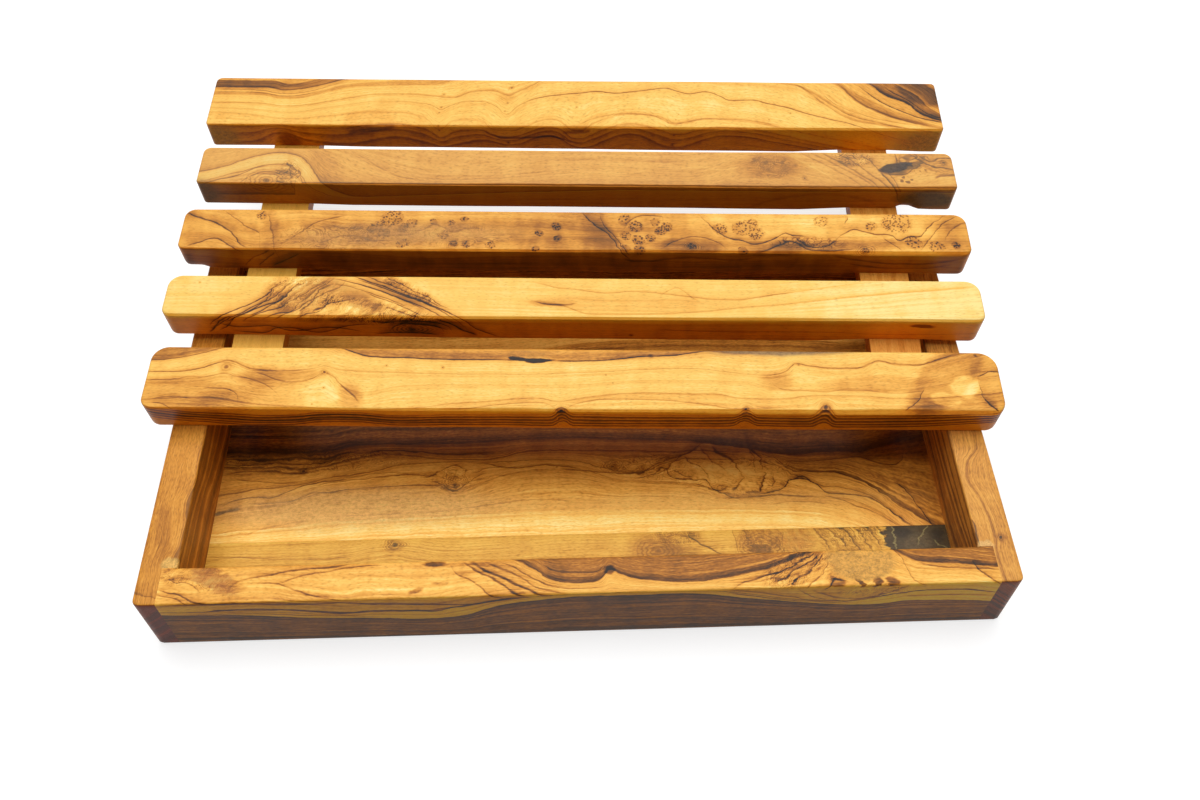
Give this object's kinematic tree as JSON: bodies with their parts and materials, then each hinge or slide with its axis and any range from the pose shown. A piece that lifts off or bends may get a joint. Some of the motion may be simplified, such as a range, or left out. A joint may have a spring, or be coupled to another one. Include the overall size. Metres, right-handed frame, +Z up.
{
  "type": "bread board with crumb catcher",
  "caption": "Slatted wooden bread board on two battens, slid back over a shallow wooden tray that catches the crumbs.",
  "frame": {"origin": "centre of the tray's underside, on the surface that it stands on", "axes": "+X to the right along the slats and the tray's long side, +Y to the back, the way the board is slid to open the tray, +Z up"},
  "size_m": [0.4078, 0.3098, 0.0714],
  "materials": {
    "rail_wood": "oiled olive wood, satin",
    "floor_wood": "oiled olive wood, satin",
    "slat_wood": "oiled olive wood, satin",
    "batten_wood": "oiled olive wood, satin",
    "screw_steel": "plain steel screw"
  },
  "bodies": {
    "tray": {"side_rail_left": "rail_wood", "side_rail_right": "rail_wood", "front_rail": "rail_wood", "back_rail": "rail_wood", "floor_strip_front": "floor_wood", "floor_board_middle": "floor_wood", "floor_board_back": "floor_wood"},
    "board": {"front_slat": "slat_wood", "second_slat": "slat_wood", "middle_slat": "slat_wood", "fourth_slat": "slat_wood", "back_slat": "slat_wood", "batten_left": "batten_wood", "batten_right": "batten_wood", "batten_screws_left": "screw_steel", "batten_screws_right": "screw_steel"}
  },
  "joints": [
    {"name": "board_slide", "type": "slide", "parent": "tray", "child": "board", "axis": [0, -1, 0], "range_m": [0, 0.085]}
  ]
}
